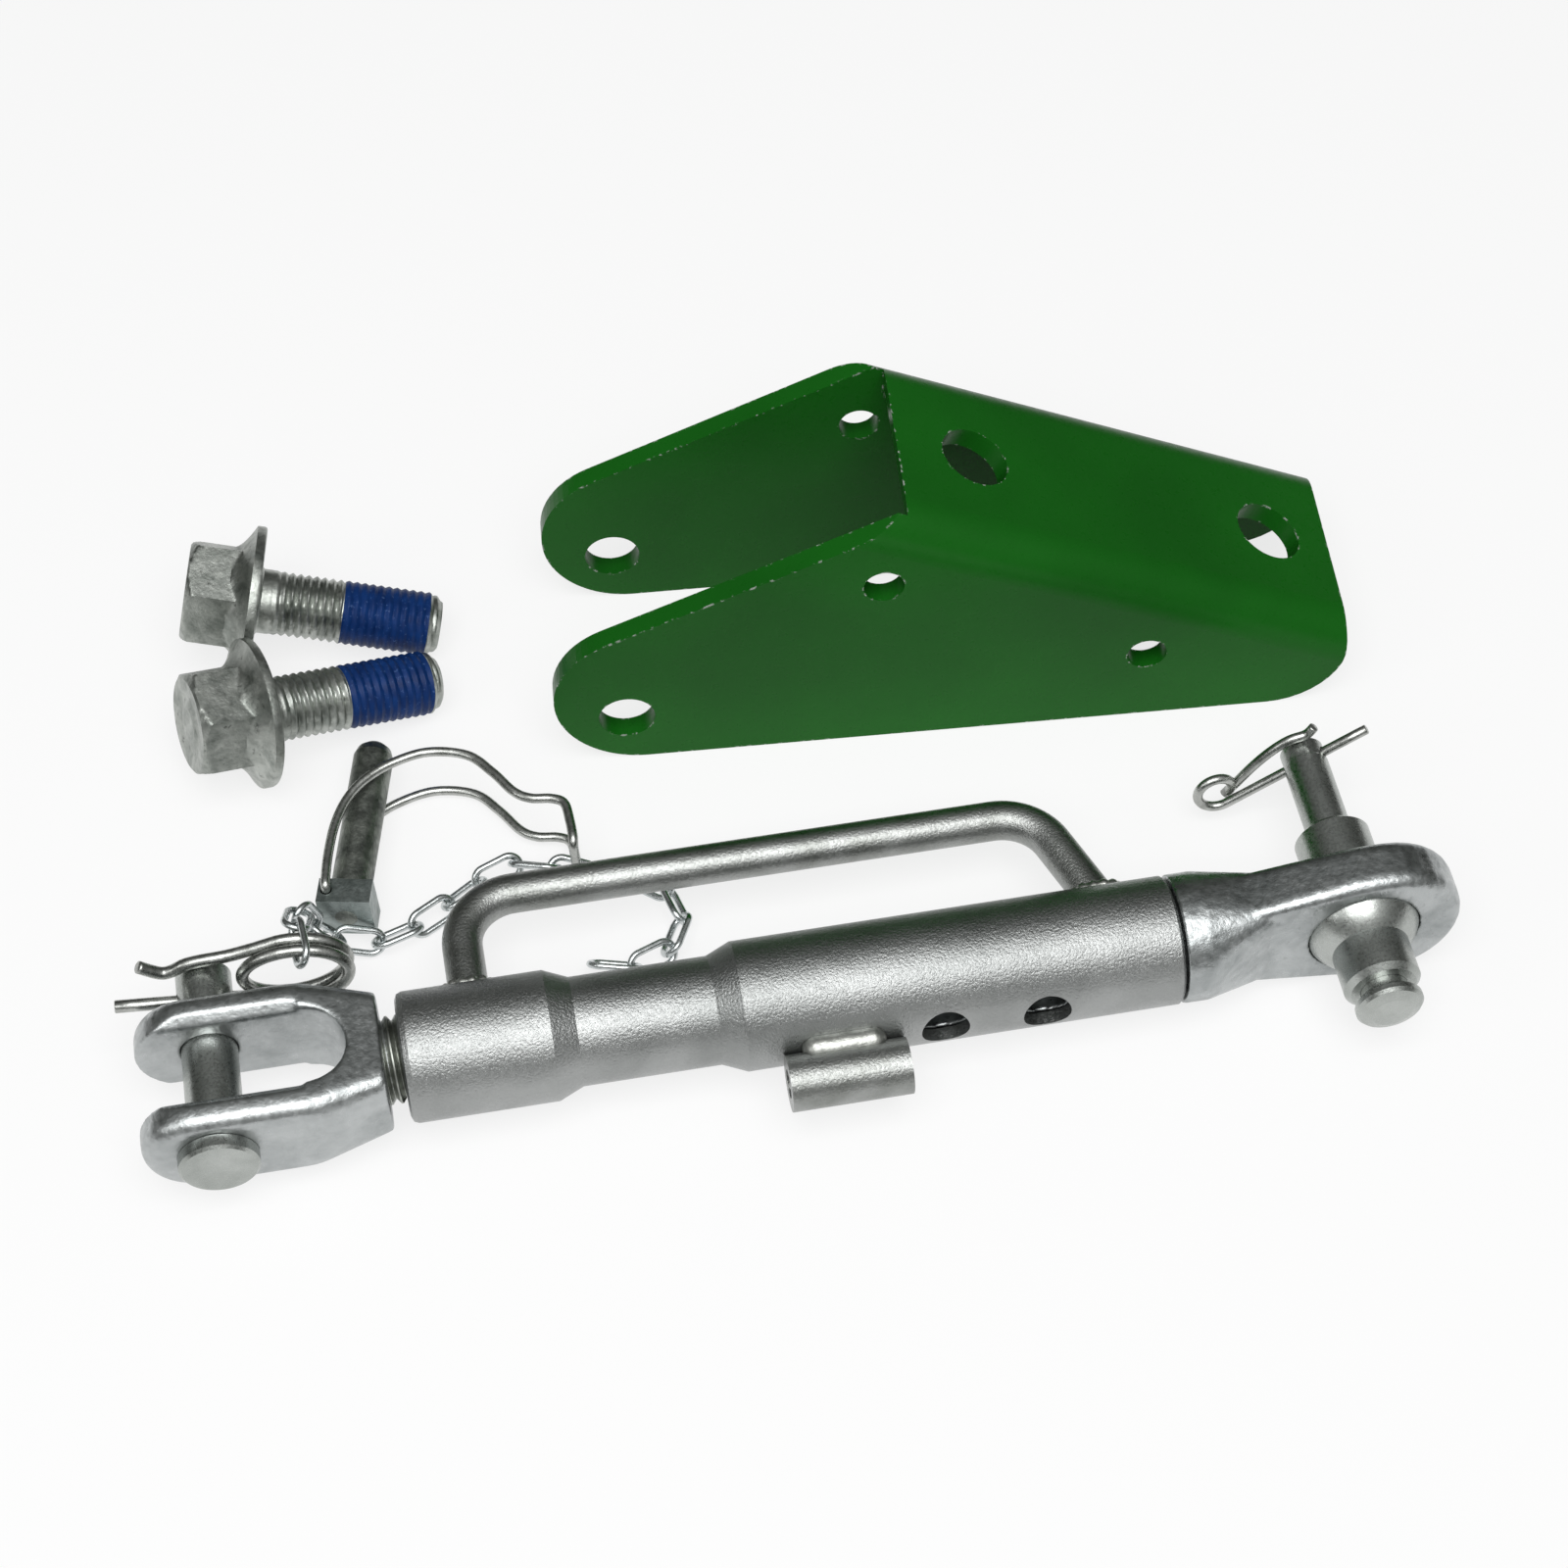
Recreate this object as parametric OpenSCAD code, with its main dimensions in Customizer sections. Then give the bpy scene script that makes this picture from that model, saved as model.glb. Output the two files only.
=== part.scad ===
// Lower link stabilizer kit, laid out on a flat surface.
// X runs along the stabilizer from the fork to the ball end, Y away from the viewer, Z up.
// The origin is the middle of the fork pin.

/* [Barrel] */
// Outside diameter of the barrel
barrel_d = 44.5; // [40:0.5:50]
// Bore of the barrel where the rod slides
barrel_bore_d = 35.6; // [32:0.1:37]
// Length of the barrel
barrel_len = 264; // [250:1:300]
// Length of the barrel's threaded end, up to the neck
nut_end_len = 50; // [44:1:60]
// Outside diameter of the swaged neck
neck_d = 37.2; // [36:0.2:40]
// Bore through the swaged neck
neck_bore_d = 31; // [30.5:0.1:32]
// Length of the neck between its two cones
neck_len = 47; // [35:1:50]
// Length of each cone beside the neck
cone_len = 8.5; // [6:0.5:12]
// Diameter of the two lock holes through the barrel and the rod
lock_hole_d = 16.5; // [15.5:0.1:18]
// Distance between the two lock holes
lock_hole_pitch = 35; // [30:1:40]
// Distance from the barrel's mouth to the nearer lock hole
lock_hole_inset = 48; // [40:1:60]

/* [Fork] */
// Width across both fork arms
fork_w = 54; // [50:1:60]
// Thickness of one fork arm
fork_arm_t = 12.5; // [10:0.5:14]
// Half the height of the fork arms
fork_r = 19; // [17:0.5:20]
// Distance by which the arm tips reach past a round end about the pin
fork_tip_reach = 6; // [3:0.5:8]
// Depth of the fork slot from the pin to its round bottom
fork_slot_depth = 46; // [38:1:47]
// Distance from the pin to the shoulder of the fork
fork_shoulder_x = 57.5; // [55:0.5:64]
// Diameter of the threaded shank
thread_d = 30; // [28:0.5:30]
// Root diameter of the bare thread beside the shoulder
thread_root_d = 26.2; // [25:0.2:27.6]
// Thread travel for one turn
thread_pitch = 3.5; // [3:0.5:4]
// Length of the threaded shank from the shoulder
thread_len = 62; // [50:1:70]
// Bare thread between the shoulder and the barrel
thread_gap = 6; // [4:0.5:10]

/* [Fork pin and its clip] */
// Diameter of the fork pin
fork_pin_d = 19; // [16:0.5:20]
// Diameter of the fork pin's head
fork_head_d = 27; // [24:0.5:32]
// Thickness of the fork pin's head
fork_head_t = 5; // [4:0.5:7]
// Length of pin that stands out past the fork
fork_pin_tail = 20; // [18:1:26]
// Wire of the double coil clip
clip_wire_d = 4.5; // [3.5:0.1:4.8]
// Half the length of the clip's oval coil at the wire's middle
clip_coil_a = 18; // [14:0.5:19]
// Half the height of the clip's oval coil at the wire's middle
clip_coil_r = 13; // [12:0.5:14]
// Tilt of the clip's straight leg
clip_tilt = 7; // [4:0.5:9]

/* [Ball end] */
// Distance from the barrel's mouth to the middle of the ball
ball_reach = 66; // [64:1:76]
// Radius of the eye around the ball
eye_r = 27; // [26:0.5:30]
// Distance by which the eye's nose reaches past a round end
eye_nose = 8; // [4:0.5:12]
// Thickness of the eye
eye_t = 20; // [18:0.5:24]
// Diameter of the sliding rod
rod_d = 35; // [31:0.1:36]
// Diameter of the ball
ball_d = 43; // [41:0.5:44]
// Width over the ball's two sleeves
sleeve_w = 66; // [62:1:72]
// Outside diameter of the sleeves
sleeve_d = 26.8; // [24:0.2:28]
// Diameter of the ball's pin
ball_pin_d = 16.3; // [14:0.1:18]
// Diameter of the ball pin's head
ball_pin_head_d = 23.5; // [21:0.5:26]
// Length of pin that stands out past the far sleeve
ball_pin_tail = 40; // [36:1:46]
// Wire of the ball pin's clip
hair_wire_d = 3.6; // [3:0.1:4]

/* [Handle and lug] */
// Diameter of the handle rod
handle_d = 14; // [12:0.5:16]
// Distance from the barrel's axis to the handle's grip
handle_reach = 61; // [55:1:66]
// Distance from the barrel's threaded end to the handle's straight foot
handle_foot = 25; // [22:1:30]
// Distance from the barrel's mouth back to the handle's leaning foot
handle_inset = 13; // [12:0.5:24]
// Lean of the far foot from square
handle_lean = 20; // [10:1:25]
// Bend radius of the handle
handle_bend = 20; // [16:1:24]
// Outside diameter of the lug tube
lug_d = 19.3; // [17:0.1:21]
// Bore of the lug tube
lug_bore_d = 10; // [8:0.5:11]
// Length of the lug tube
lug_len = 41; // [34:1:46]
// Distance from the barrel's threaded end to the lug tube
lug_start = 125.5; // [118:0.5:130]

/* [Lock pin] */
// Diameter of the lock pin's shank
lock_d = 14.5; // [13:0.1:15]
// Length of the shank past its head
lock_len = 66; // [60:1:70]
// Width of the lock pin's square head
lock_head_w = 19; // [17:0.5:21]
// Thickness of the lock pin's head
lock_head_t = 10; // [8:0.5:12]
// Wire of the bow
bow_wire_d = 3.5; // [3:0.1:4]

/* [Chain] */
// Wire of the chain links
link_wire_d = 2.5; // [2:0.1:2.6]
// Outside length of a link
link_len = 20; // [19.5:0.1:20.5]
// Outside width of a link
link_w = 11; // [10.8:0.1:11.6]

/* [Bracket] */
// Width across the bracket
bracket_w = 87; // [80:1:96]
// Thickness of the bracket's plate
plate_t = 8; // [6:0.5:10]
// Height of the web at its high end
web_high_z = 112; // [104:1:120]
// Height of the web at its low end
web_low_z = 35; // [33:1:44]
// Distance from the ear holes to the high end of the web
web_start = 102; // [96:1:110]
// Distance from the ear holes to the low end
bracket_end = 265; // [258:1:280]
// Outside radius of the folds
fold_r = 15; // [12:0.5:18]
// Radius of the round ears
ear_r = 32.8; // [30:0.1:34]
// Height of the ear holes above the lower edge
ear_hole_z = 22.7; // [20:0.1:26]
// Diameter of the ear holes
ear_hole_d = 20.5; // [19:0.1:24]
// Diameter of the four small side holes
side_hole_d = 14.5; // [12:0.5:16]
// Diameter of the two web holes
web_hole_d = 26; // [22:0.5:27]

/* [Bolts] */
// Diameter of the bolt shank
bolt_d = 24; // [20:0.5:25]
// Length of the bolt shank under the flange
bolt_len = 68; // [60:1:75]
// Width across the flats of the head
bolt_flats = 36; // [30:1:38]
// Diameter of the bolt's flange
bolt_flange_d = 55; // [48:0.5:56]
// Height of the whole head
bolt_head_h = 27; // [24:0.5:30]
// Length of the blue locking patch
patch_len = 33; // [25:1:38]

/* [Hidden] */
$fn = 64;
hull_fn = 32;
eps = 0.01;

// Clearances
slide_gap = 0.3;
pin_gap = 0.1;
seat_gap = 0.15;
weld_gap = 0.05;

// Places along the stabilizer
barrel_x0 = fork_shoulder_x + thread_gap;
barrel_x1 = barrel_x0 + barrel_len;
ball_x = barrel_x1 + ball_reach;
floor_z = -eye_r;
barrel_r = barrel_d / 2;
hole_near_x = barrel_x1 - lock_hole_inset;
hole_xs = [hole_near_x - lock_hole_pitch, hole_near_x];

zinc = [0.72, 0.74, 0.74];
dark_zinc = [0.55, 0.57, 0.56];
green = [0.05, 0.32, 0.08];

// Straight round bar between two points
module bar(a, b, d) {
    v = b - a;
    translate(a)
        rotate([0, acos(v[2] / norm(v)), atan2(v[1], v[0])])
            cylinder(d = d, h = norm(v));
}

// Disc about the Y axis with rounded rims, used as a child of hull
module soft_disc(r, w, edge) {
    rotate([90, 0, 0])
        rotate_extrude($fn = hull_fn)
            intersection() {
                translate([-r, -w / 2]) offset(r = edge, $fn = 16) offset(delta = -edge) square([2 * r, w]);
                translate([0, -w]) square([2 * r, 2 * w]);
            }
}

// Block with rounded long edges along X, used as a child of hull
module soft_block(len, w, h, edge) {
    rotate([90, 0, 90])
        linear_extrude(len)
            offset(r = edge, $fn = 16) offset(delta = -edge) square([w, h], center = true);
}

// Wire of round section swept along points that lie close together
function unit(v) = v / norm(v);
function tangents(p) = [for (i = [0 : len(p) - 1]) unit(p[min(i + 1, len(p) - 1)] - p[max(i - 1, 0)])];
function normals(t, i, n, out) = i == len(t) ? out
    : let (m = unit(n - (n * t[i]) * t[i])) normals(t, i + 1, m, concat(out, [m]));
function ring_points(p, t, n, r, sides) =
    [for (i = [0 : len(p) - 1]) for (k = [0 : sides - 1])
        let (a = 360 * k / sides) p[i] + r * (cos(a) * n[i] + sin(a) * cross(t[i], n[i]))];
module wire(p, d, start, sides = 10) {
    t = tangents(p);
    n = normals(t, 0, start, []);
    last = len(p) - 1;
    side_faces = [for (i = [0 : last - 1]) for (k = [0 : sides - 1])
        let (k2 = (k + 1) % sides) each [
            [i * sides + k, (i + 1) * sides + k, i * sides + k2],
            [i * sides + k2, (i + 1) * sides + k, (i + 1) * sides + k2]]];
    start_cap = [for (k = [0 : sides - 1]) k];
    end_cap = [for (k = [sides - 1 : -1 : 0]) last * sides + k];
    polyhedron(ring_points(p, t, n, d / 2, sides), concat(side_faces, [start_cap, end_cap]));
}

// Points of an oval in the XZ plane, with an even shift along Y
function oval_xz(c, r, h, a0, a1, y0, y1, steps) =
    [for (i = [0 : steps]) let (a = a0 + (a1 - a0) * i / steps)
        [c[0] + r * cos(a), y0 + (y1 - y0) * i / steps, c[1] + h * sin(a)]];

// Points of a smooth curve through hand-chosen points
function spline_point(a, b, c, d, u) = 0.5 * (2 * b + (c - a) * u
    + (2 * a - 5 * b + 4 * c - d) * u * u + (3 * b - 3 * c + d - a) * u * u * u);
function smooth(p, steps) = concat([for (i = [0 : len(p) - 2]) for (k = [0 : steps - 1])
    spline_point(p[max(i - 1, 0)], p[i], p[i + 1], p[min(i + 2, len(p) - 1)], k / steps)], [p[len(p) - 1]]);

// Barrel: swaged tube with two cross holes
barrel_edge = 2.5;
insert_d = 36;
insert_len = 42;
insert_inset = 3;
neck_x0 = nut_end_len + cone_len;
neck_x1 = neck_x0 + neck_len;
module barrel_tube() {
    r = barrel_r;
    color(zinc) difference() {
        translate([barrel_x0, 0, 0]) rotate([90, 0, 90]) rotate_extrude($fn = 96) polygon([
            [neck_bore_d / 2, insert_inset + insert_len], [insert_d / 2 + slide_gap, insert_inset + insert_len],
            [insert_d / 2 + slide_gap, 0], [r - barrel_edge, 0], [r - barrel_edge * 0.3, barrel_edge * 0.3],
            [r, barrel_edge], [r, nut_end_len], [neck_d / 2, neck_x0],
            [neck_d / 2, neck_x1], [r, neck_x1 + cone_len], [r, barrel_len - 1], [r - 1, barrel_len],
            [barrel_bore_d / 2, barrel_len], [barrel_bore_d / 2, neck_x1 + cone_len + 2],
            [neck_bore_d / 2, neck_x1 + 2]]);
        for (x = hole_xs)
            translate([x, 0, 0]) rotate([90, 0, 0]) cylinder(d = lock_hole_d, h = barrel_d + 2, center = true);
    }
}

// Nut fixed in the barrel's end
module thread_insert() {
    color(dark_zinc) translate([barrel_x0 + insert_inset, 0, 0]) rotate([0, 90, 0]) difference() {
        cylinder(d = insert_d, h = insert_len - slide_gap);
        translate([0, 0, -1]) cylinder(d = thread_d + 2 * slide_gap, h = insert_len + 2);
    }
}

// Handle: rod bent twice, its feet cut to sit on the barrel
handle_x0 = barrel_x0 + handle_foot;
handle_x1 = barrel_x1 - handle_inset;
far_turn = 90 - handle_lean;
far_tangent = handle_bend * tan(far_turn / 2);
far_corner_x = handle_x1 - handle_reach * tan(handle_lean);
module bend(r, a, d) {
    rotate_extrude(angle = a) translate([r, 0]) circle(d = d);
}
module handle_shape(d) {
    bar([handle_x0, 0, 0], [handle_x0, handle_reach - handle_bend, 0], d);
    translate([handle_x0 + handle_bend, handle_reach - handle_bend, 0]) rotate([0, 0, 90]) bend(handle_bend, 90, d);
    bar([handle_x0 + handle_bend, handle_reach, 0], [far_corner_x - far_tangent, handle_reach, 0], d);
    translate([far_corner_x - far_tangent, handle_reach - handle_bend, 0])
        rotate([0, 0, handle_lean]) bend(handle_bend, far_turn, d);
    bar([far_corner_x + far_tangent * sin(handle_lean), handle_reach - far_tangent * cos(handle_lean), 0],
        [handle_x1, 0, 0], d);
}
module barrel_cutter(extra) {
    translate([barrel_x0, 0, 0]) rotate([0, 90, 0]) cylinder(d = barrel_d + 2 * extra, h = barrel_len, $fn = 96);
}
module handle_bar() {
    color(zinc) difference() {
        handle_shape(handle_d);
        barrel_cutter(weld_gap);
    }
}

// Weld beads round the handle's feet
bead_w = 3;
bead_h = 4;
module foot_bead(lean) {
    rotate([-90, 0, lean]) difference() {
        cylinder(d1 = handle_d + 4 * bead_w, d2 = handle_d + bead_w, h = barrel_r + bead_h);
        translate([0, 0, -1]) cylinder(d = handle_d + 2 * weld_gap, h = barrel_r + bead_h + 2);
    }
}
module handle_welds() {
    color(dark_zinc) difference() {
        union() {
            translate([handle_x0, 0, 0]) foot_bead(0);
            translate([handle_x1, 0, 0]) foot_bead(handle_lean);
        }
        barrel_cutter(weld_gap);
    }
}

// Lug: short tube welded along the barrel's near side
lug_x0 = barrel_x0 + lug_start;
lug_drop = 5;
lug_y = -(barrel_r + lug_d / 2 + seat_gap) * cos(lug_drop);
lug_z = -(barrel_r + lug_d / 2 + seat_gap) * sin(lug_drop);
module lug_tube() {
    color(zinc) translate([lug_x0, lug_y, lug_z]) rotate([0, 90, 0]) difference() {
        cylinder(d = lug_d, h = lug_len);
        translate([0, 0, -1]) cylinder(d = lug_bore_d, h = lug_len + 2);
    }
}
weld_len = 19;
weld_d = 10;
module lug_weld() {
    mid_y = -(barrel_r + 1) * cos(lug_drop);
    mid_z = -(barrel_r + 1) * sin(lug_drop) + weld_d / 2 - 0.5;
    color(dark_zinc) difference() {
        translate([lug_x0 + (lug_len - weld_len) / 2, mid_y, mid_z]) rotate([0, 90, 0]) {
            cylinder(d = weld_d, h = weld_len);
            sphere(d = weld_d);
            translate([0, 0, weld_len]) sphere(d = weld_d);
        }
        barrel_cutter(weld_gap);
        translate([lug_x0 - 1, lug_y, lug_z]) rotate([0, 90, 0]) cylinder(d = lug_d + 2 * weld_gap, h = lug_len + 2);
    }
}

// Fork: forging with two arms, a shoulder and a threaded shank
fork_slot_w = fork_w - 2 * fork_arm_t;
shoulder_w = 40;
shoulder_h = 32;
fork_edge = 6;
slot_x1 = fork_slot_depth - fork_slot_w / 2;
root_len = thread_gap + insert_inset - 0.5;
module slot_bevel(side, up) {
    bevel = 5;
    translate([slot_x1 / 2 - fork_r, side * fork_slot_w / 2, up * fork_r])
        rotate([45, 0, 0]) cube([slot_x1 + 2 * fork_r, bevel, bevel], center = true);
}
module fork() {
    color(zinc) difference() {
        union() {
            hull() {
                translate([-fork_tip_reach, 0, 0]) soft_disc(fork_r, fork_w, fork_edge);
                translate([slot_x1 - 4, 0, 0]) soft_disc(fork_r, fork_w, fork_edge);
            }
            hull() {
                translate([slot_x1 - 4, 0, 0]) soft_disc(fork_r, fork_w, fork_edge);
                translate([fork_shoulder_x - 10, 0, 0]) soft_block(10, shoulder_w, shoulder_h, fork_edge);
            }
            translate([fork_shoulder_x - 1, 0, 0]) rotate([0, 90, 0]) cylinder(d = thread_root_d, h = root_len + 2);
            translate([fork_shoulder_x + root_len, 0, 0]) rotate([0, 90, 0])
                cylinder(d = thread_d, h = thread_len - root_len - 2);
            translate([fork_shoulder_x + thread_len - 2, 0, 0]) rotate([0, 90, 0])
                cylinder(d1 = thread_d, d2 = thread_d - 4, h = 2);
        }
        translate([-3 * fork_r, -fork_slot_w / 2, -fork_r - 1]) cube([slot_x1 + 3 * fork_r, fork_slot_w, 2 * fork_r + 2]);
        translate([slot_x1, 0, -fork_r - 1]) cylinder(d = fork_slot_w, h = 2 * fork_r + 2);
        for (up = [-1, 1]) {
            slot_bevel(1, up);
            slot_bevel(-1, up);
            translate([slot_x1, 0, up * (fork_r - 1.8)]) scale([1, 1, up])
                cylinder(d1 = fork_slot_w, d2 = fork_slot_w + 11, h = 5.5);
        }
        rotate([90, 0, 0]) cylinder(d = fork_pin_d + 2 * pin_gap, h = fork_w + 2, center = true);
    }
}

// Fork pin with a flat head and a cross hole for its clip
clip_hole_y = fork_w / 2 + 9;
clip_hole_d = clip_wire_d + 0.6;
fork_pin_end = fork_w / 2 + fork_pin_tail;
module fork_pin() {
    head_y = -fork_w / 2 - seat_gap;
    color(zinc) difference() {
        rotate([-90, 0, 0]) {
            translate([0, 0, head_y - fork_head_t]) rotate_extrude() polygon([[0, 0], [fork_head_d / 2 - 1, 0],
                [fork_head_d / 2, 1], [fork_head_d / 2, fork_head_t], [fork_pin_d / 2, fork_head_t],
                [fork_pin_d / 2, fork_pin_end - head_y + fork_head_t - 1.5],
                [fork_pin_d / 2 - 1.5, fork_pin_end - head_y + fork_head_t], [0, fork_pin_end - head_y + fork_head_t]]);
        }
        translate([0, clip_hole_y, 0]) rotate([0, 90 + clip_tilt, 0])
            cylinder(d = clip_hole_d, h = 2 * fork_pin_d, center = true, $fn = 32);
    }
}

// Double coil clip: a straight leg in the pin, two turns, and a bent leg over the pin
coil_x = 31.5;
coil_z = 4;
coil_step = clip_wire_d + 0.3;
bent_end_angle = 465;
coil_y1 = clip_hole_y + coil_step * (bent_end_angle + 90) / 360;
over_pin_z = fork_pin_d / 2 + clip_wire_d / 2 + 0.3;
function leg_point(x) = [x * cos(clip_tilt), clip_hole_y, -x * sin(clip_tilt)];
clip_path = concat(
    [leg_point(-30), leg_point(-15), leg_point(0), leg_point(8)],
    smooth([leg_point(11), [17.5, clip_hole_y, -3.4], [25, clip_hole_y, coil_z - clip_coil_r + 1]], 4),
    oval_xz([coil_x, coil_z], clip_coil_a, clip_coil_r, -90, bent_end_angle, clip_hole_y, coil_y1, 44),
    smooth([[20, coil_y1, 14.8], [10, coil_y1, 12.8], [0, coil_y1, over_pin_z + 0.15], [-5, coil_y1, over_pin_z - 0.8],
        [-9.5, coil_y1, 8.9], [-13.5, coil_y1, 8.8], [-20, coil_y1, 14]], 4));
module fork_clip() {
    color(zinc) wire(clip_path, clip_wire_d, [0, 1, 0]);
}

// Rod with lock holes, round neck, flat arm and eye, all one forging
rod_x0 = barrel_x0 + neck_x1 + cone_len + 3;
collar_x = barrel_x1 + 0.8;
module eye_rod() {
    color(zinc) difference() {
        union() {
            translate([rod_x0, 0, 0]) rotate([0, 90, 0]) cylinder(d1 = rod_d - 3, d2 = rod_d, h = 1.5);
            translate([rod_x0 + 1.5, 0, 0]) rotate([0, 90, 0]) cylinder(d = rod_d, h = collar_x - rod_x0);
            translate([collar_x, 0, 0]) rotate([0, 90, 0]) cylinder(r = barrel_r, h = 9, $fn = 96);
            hull() {
                translate([collar_x + 8.9, 0, 0]) rotate([0, 90, 0]) cylinder(r = barrel_r, h = 0.1, $fn = hull_fn);
                translate([collar_x + 30, 0, 0]) soft_block(2, eye_t, 2 * fork_r, 3);
            }
            hull() {
                translate([collar_x + 14, 0, 0]) soft_block(2, eye_t, 2 * fork_r - 2, 3);
                translate([ball_x, 0, 0]) soft_disc(eye_r, eye_t, 5);
            }
            hull() {
                translate([ball_x, 0, 0]) soft_disc(eye_r, eye_t, 5);
                translate([ball_x + eye_nose, 0, 0]) soft_disc(eye_r, eye_t, 5);
            }
        }
        translate([ball_x, 0, 0]) rotate([90, 0, 0]) rotate_extrude($fn = 96) intersection() {
            circle(r = ball_d / 2 + seat_gap);
            translate([0, -eye_t]) square([ball_d, 2 * eye_t]);
        }
        for (x = concat([hole_xs[0] - lock_hole_pitch], hole_xs))
            translate([x, 0, 0]) rotate([90, 0, 0]) cylinder(d = lock_hole_d, h = rod_d + 2, center = true);
    }
}

// Ball with a sleeve on each side, bored for its pin
module swivel_ball() {
    color(zinc) translate([ball_x, 0, 0]) rotate([90, 0, 0]) difference() {
        union() {
            sphere(d = ball_d, $fn = 96);
            cylinder(d = sleeve_d, h = sleeve_w - 4, center = true);
            for (up = [-1, 1])
                translate([0, 0, up * (sleeve_w / 2 - 2)]) scale([1, 1, up])
                    cylinder(d1 = sleeve_d, d2 = sleeve_d - 4, h = 2);
        }
        cylinder(d = ball_pin_d + 2 * pin_gap, h = sleeve_w + 2, center = true);
    }
}

// Ball pin: domed head near the viewer, a slightly thinner free tail with a chamfered tip and a cross hole
tail_ease = 0.2;
tail_start = sleeve_w / 2 + slide_gap;
head_gap = 4.5;
ball_head_t = 6;
hair_hole_y = sleeve_w / 2 + ball_pin_tail - 6.5;
stub_start = hair_hole_y - hair_wire_d / 2 - 0.7;
stub_r = ball_pin_d / 2 - 2 * tail_ease;
hair_hole_d = hair_wire_d + 0.6;
module ball_pin() {
    r = ball_pin_d / 2;
    head_r = ball_pin_head_d / 2;
    y0 = -sleeve_w / 2 - head_gap - ball_head_t;
    y1 = sleeve_w / 2 + ball_pin_tail;
    color(zinc) translate([ball_x, 0, 0]) difference() {
        rotate([-90, 0, 0]) rotate_extrude() polygon([[0, y0], [head_r * 0.6, y0 + 0.5], [head_r - 1, y0 + 2],
            [head_r, y0 + 3.2], [head_r, y0 + ball_head_t - 1], [head_r - 1, y0 + ball_head_t],
            [r, y0 + ball_head_t], [r, tail_start - 1], [r - tail_ease, tail_start],
            [r - tail_ease, stub_start], [stub_r, stub_start + 0.5], [stub_r, y1 - 2], [r - 2, y1], [0, y1]]);
        translate([0, hair_hole_y, 0]) rotate([0, 90 - hair_turn, 0])
            cylinder(d = hair_hole_d, h = 3 * ball_pin_d, center = true, $fn = 32);
    }
}

// Small clip through the ball pin: straight leg, one loop, bent leg round the pin
hair_turn = 33;
hair_loop_r = 6.5;
hair_loop_x = -33;
hair_over = ball_pin_d / 2 + hair_wire_d / 2 + 0.3;
hair_y1 = hair_hole_y + hair_wire_d + 0.3;
hair_path = concat(
    [[25, hair_hole_y, 0], [10, hair_hole_y, 0], [-10, hair_hole_y, 0], [-20, hair_hole_y, 0]],
    oval_xz([hair_loop_x, hair_loop_r], hair_loop_r, hair_loop_r, 270, -80, hair_hole_y, hair_y1, 24),
    smooth([[-26, hair_y1, 0.6 + hair_loop_r * 0.3], [-16, hair_y1, 7], [-7, hair_y1, hair_over - 0.6],
        [0, hair_y1, hair_over], [6, hair_y1, hair_over - 1.6], [10, hair_y1, hair_over]], 4));
module ball_pin_clip() {
    color(zinc) translate([ball_x, 0, 0]) rotate([0, -hair_turn, 0]) wire(hair_path, hair_wire_d, [0, 1, 0]);
}

// Lock pin out of its hole, lying behind the fork
lock_x = 51;
lock_y = clip_hole_y + 40;
lock_yaw = -13.5;
lock_roll = 2;
bow_z = lock_head_w / 2 + bow_wire_d / 2 + seat_gap;
lock_lift = bow_z * cos(lock_roll) + bow_wire_d / 2 + 10 * sin(lock_roll);
module lock_place() {
    translate([lock_x, lock_y, floor_z + lock_lift]) rotate([0, 0, lock_yaw]) rotate([0, -lock_roll, 0]) children();
}
shank_seat = 0.05;
spigot_d = 8;
module lock_pin_shank() {
    color(dark_zinc) lock_place() translate([0, -lock_head_t / 2, 0]) rotate([-90, 0, 0]) rotate_extrude()
        polygon([[0, 0], [spigot_d / 2, 0], [spigot_d / 2, lock_head_t + shank_seat],
            [lock_d / 2, lock_head_t + shank_seat], [lock_d / 2, lock_head_t + lock_len - 5],
            [lock_d / 2 - 1, lock_head_t + lock_len - 2], [lock_d / 2 - 3, lock_head_t + lock_len],
            [0, lock_head_t + lock_len]]);
}
bow_hinge_x = -6.4;
module lock_pin_head() {
    color(dark_zinc) lock_place() difference() {
        cube([lock_head_w, lock_head_t, lock_head_w], center = true);
        rotate([90, 0, 0]) cylinder(d = spigot_d + 0.1, h = lock_head_t + 2, center = true);
        translate([bow_hinge_x, 0, 0]) cylinder(d = bow_wire_d + 0.6, h = lock_head_w + 2, center = true, $fn = 32);
    }
}

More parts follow.
